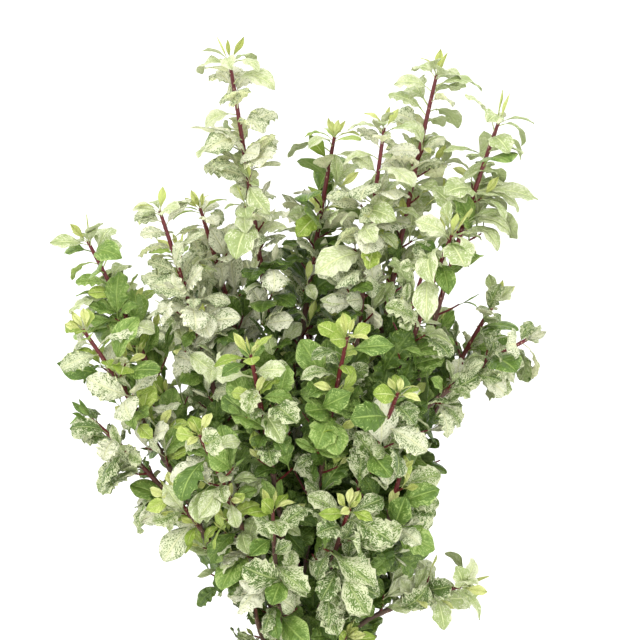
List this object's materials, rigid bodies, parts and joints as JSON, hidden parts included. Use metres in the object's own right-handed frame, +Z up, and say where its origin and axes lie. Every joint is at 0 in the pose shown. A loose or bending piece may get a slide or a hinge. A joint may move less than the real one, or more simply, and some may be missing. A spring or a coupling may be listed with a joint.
{
  "type": "potted pittosporum shrub",
  "caption": "Bushy evergreen shrub with mottled cream and green wavy leaves on dark red shoots, forking low from one short trunk, in a plain clay pot.",
  "frame": {"origin": "centre of the pot's flat underside", "axes": "+Z up along the plant, -Y towards the viewer of the picture, +X to the picture's right"},
  "size_m": [0.4353, 0.3276, 0.8051],
  "materials": {
    "clay": "matt unglazed terracotta",
    "compost": "rough, moist, crumbly",
    "bark": "matt dark brown bark with small pale pores",
    "leaves": "satin leaves, cream and green mottling, pale dull undersides"
  },
  "bodies": {
    "root": {"bough_back_crown": "bark", "bough_back_left": "bark", "bough_back_low_left": "bark", "bough_back_low_right": "bark", "bough_back_right": "bark", "bough_centre_front": "bark", "bough_centre_right": "bark", "bough_crown_left": "bark", "bough_crown_top": "bark", "bough_front_crown": "bark", "bough_front_left": "bark", "bough_front_low": "bark", "bough_left_edge": "bark", "bough_left_fan": "bark", "bough_left_low": "bark", "bough_left_shoulder": "bark", "bough_left_skirt": "bark", "bough_left_spire": "bark", "bough_middle_spire": "bark", "bough_right_arm": "bark", "bough_right_crown": "bark", "bough_right_low": "bark", "bough_right_shoulder": "bark", "bough_right_skirt": "bark", "bough_right_spire": "bark", "bough_right_wing": "bark", "compost": "compost", "foliage_back_crown": "leaves", "foliage_back_foot": "leaves", "foliage_back_left": "leaves", "foliage_back_low_left": "leaves", "foliage_back_low_right": "leaves", "foliage_back_right": "leaves", "foliage_centre_front": "leaves", "foliage_centre_right": "leaves", "foliage_crown_left": "leaves", "foliage_crown_top": "leaves", "foliage_front_crown": "leaves", "foliage_front_foot": "leaves", "foliage_front_left": "leaves", "foliage_front_low": "leaves", "foliage_front_middle": "leaves", "foliage_heart": "leaves", "foliage_left_edge": "leaves", "foliage_left_fan": "leaves", "foliage_left_foot": "leaves", "foliage_left_low": "leaves", "foliage_left_shoulder": "leaves", "foliage_left_skirt": "leaves", "foliage_left_spire": "leaves", "foliage_middle_spire": "leaves", "foliage_right_arm": "leaves", "foliage_right_crown": "leaves", "foliage_right_low": "leaves", "foliage_right_shoulder": "leaves", "foliage_right_skirt": "leaves", "foliage_right_spire": "leaves", "foliage_right_wing": "leaves", "pot": "clay", "trunk": "bark"}
  },
  "joints": []
}
